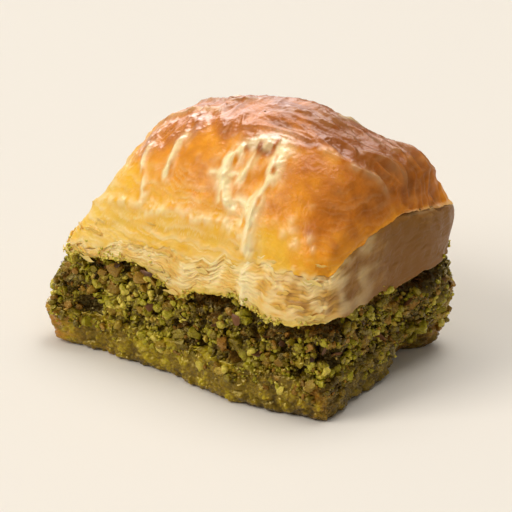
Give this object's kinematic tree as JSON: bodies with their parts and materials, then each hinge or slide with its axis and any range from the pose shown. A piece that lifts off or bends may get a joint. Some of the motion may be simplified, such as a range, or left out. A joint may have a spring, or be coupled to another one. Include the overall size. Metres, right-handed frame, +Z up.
{
  "type": "baklava piece",
  "caption": "Oblong piece of pistachio baklava: a syrup-soaked base pastry, a bed of chopped nuts and a puffed, browned, flaky top.",
  "frame": {"origin": "middle of the flat underside, on the surface the piece rests on", "axes": "+X along the long cut side towards the taller end, +Y along the short side towards the back, +Z up"},
  "size_m": [0.0544, 0.0374, 0.0391],
  "materials": {
    "base_pastry": "syrup-soaked, moist",
    "pistachio_filling": "crumbly, moist",
    "top_pastry": "browned, glazed with syrup"
  },
  "bodies": {
    "root": {"base_pastry": "base_pastry", "pistachio_filling": "pistachio_filling", "top_pastry": "top_pastry"}
  },
  "joints": []
}
